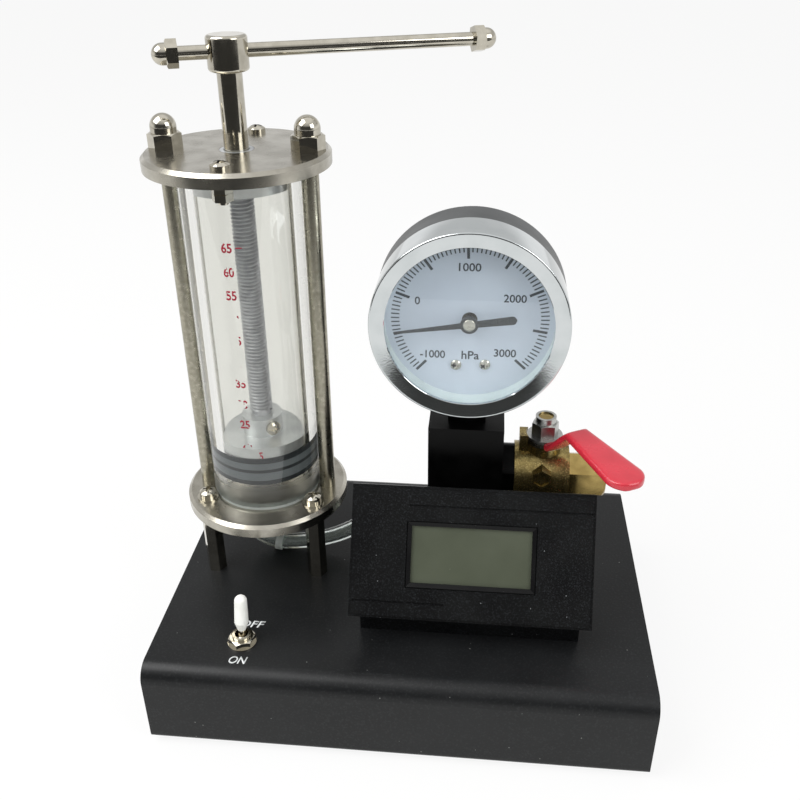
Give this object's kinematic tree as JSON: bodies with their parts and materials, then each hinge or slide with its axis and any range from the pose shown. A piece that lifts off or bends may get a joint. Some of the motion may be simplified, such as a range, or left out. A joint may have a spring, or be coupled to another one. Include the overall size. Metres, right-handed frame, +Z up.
{
  "type": "gas law apparatus",
  "caption": "Bench demonstration apparatus: clear graduated cylinder with a screw-driven piston, hose, manifold with dial gauge and ball valve, and a panel thermometer on a folded base.",
  "frame": {"origin": "middle of the footprint on the surface that the rubber feet stand on", "axes": "+X to the right along the wide side, +Y to the back, +Z up"},
  "size_m": [0.165, 0.117, 0.216],
  "materials": {
    "black_powder_coat": "satin",
    "black_oxide": "gloss",
    "feet_rubber": "matt",
    "zinc_steel": "satin",
    "nickel_plate": "polished",
    "spindle_steel": "turned",
    "piston_aluminium": "turned",
    "piston_grey": "satin",
    "ring_rubber": "satin",
    "clear_acrylic": "polished",
    "clear_silicone": "smooth",
    "gauge_case_paint": "satin",
    "gauge_chrome": "polished",
    "dial_white": "printed",
    "needle_black": "satin",
    "brass": "cast and turned",
    "lever_vinyl": "dipped",
    "black_abs": "fine texture",
    "lcd_glass": "satin",
    "cap_white": "smooth",
    "switch_plastic": "moulded",
    "cell_jacket": "printed"
  },
  "bodies": {
    "root": {"base_cover": "black_powder_coat", "base_tray": "black_powder_coat", "standoffs": "black_oxide", "manifold_block": "black_oxide", "gauge_stem": "black_oxide", "valve_nipple": "black_oxide", "rubber_feet": "feet_rubber", "tray_screws": "zinc_steel", "base_screws": "zinc_steel", "block_screws": "zinc_steel", "tie_rod_screws": "zinc_steel", "plate_nuts": "zinc_steel", "standoff_screws": "zinc_steel", "standoff_washers": "zinc_steel", "plate_screws": "zinc_steel", "dial_screws": "zinc_steel", "lower_plate": "nickel_plate", "upper_plate": "nickel_plate", "tie_rods": "nickel_plate", "tie_rod_nuts": "nickel_plate", "switch_nut": "nickel_plate", "switch_washers": "nickel_plate", "switch_bushing": "nickel_plate", "outlet_barb": "nickel_plate", "manifold_barb": "nickel_plate", "spindle_nut": "spindle_steel", "tube_gasket": "ring_rubber", "cylinder_tube": "clear_acrylic", "gauge_lens": "clear_acrylic", "hose": "clear_silicone", "hose_tie": "clear_silicone", "gauge_case": "gauge_case_paint", "gauge_bezel": "gauge_chrome", "gauge_dial": "dial_white", "gauge_spacer": "dial_white", "valve_body": "brass", "valve_end": "brass", "gauge_movement": "brass", "meter_housing": "black_abs", "meter_bezel": "black_abs", "battery_holder": "black_abs", "lcd_panel": "lcd_glass", "switch_body": "switch_plastic", "battery_cell": "cell_jacket"},
    "piston": {"piston_disc": "piston_aluminium", "piston_body": "piston_grey", "piston_rings": "ring_rubber", "piston_collar": "piston_aluminium", "collar_screw": "zinc_steel"},
    "spindle": {"spindle": "spindle_steel", "spindle_head": "nickel_plate"},
    "bar": {"tommy_bar": "nickel_plate", "bar_nuts": "nickel_plate"},
    "valve": {"valve_lever": "lever_vinyl", "lever_nut": "zinc_steel", "valve_stem": "brass", "valve_ball": "nickel_plate"},
    "toggle": {"toggle_lever": "nickel_plate", "lever_cap": "cap_white"},
    "needle": {"gauge_needle": "needle_black"}
  },
  "joints": [
    {"name": "piston_travel", "type": "slide", "parent": "root", "child": "piston", "axis": [0, 0, 1], "range_m": [-0.00375, 0.07875]},
    {"name": "spindle_turn", "type": "hinge", "parent": "piston", "child": "spindle", "pos_m": [-0.0523, 0.0075, 0.1794], "axis": [0, 0, 1], "range_deg": [-1080, 22680]},
    {"name": "bar_slide", "type": "slide", "parent": "spindle", "child": "bar", "axis": [0.9342, 0.3567, 0], "range_m": [-0.0677, 0.0076]},
    {"name": "valve_turn", "type": "hinge", "parent": "root", "child": "valve", "pos_m": [0.0458, 0.0075, 0.0731], "axis": [0, 0, 1], "range_deg": [-28, 62]},
    {"name": "toggle_tilt", "type": "hinge", "parent": "root", "child": "toggle", "pos_m": [-0.0523, -0.0425, 0.0334], "axis": [1, 0, 0], "range_deg": [0, 25]},
    {"name": "needle_sweep", "type": "hinge", "parent": "root", "child": "needle", "pos_m": [0.0192, 0.0075, 0.1358], "axis": [0, 1, 0], "range_deg": [-39, 231]}
  ],
  "couplings": [
    {"joint": "spindle_turn", "follows": "piston_travel", "rad_per_m": 5026.5}
  ]
}
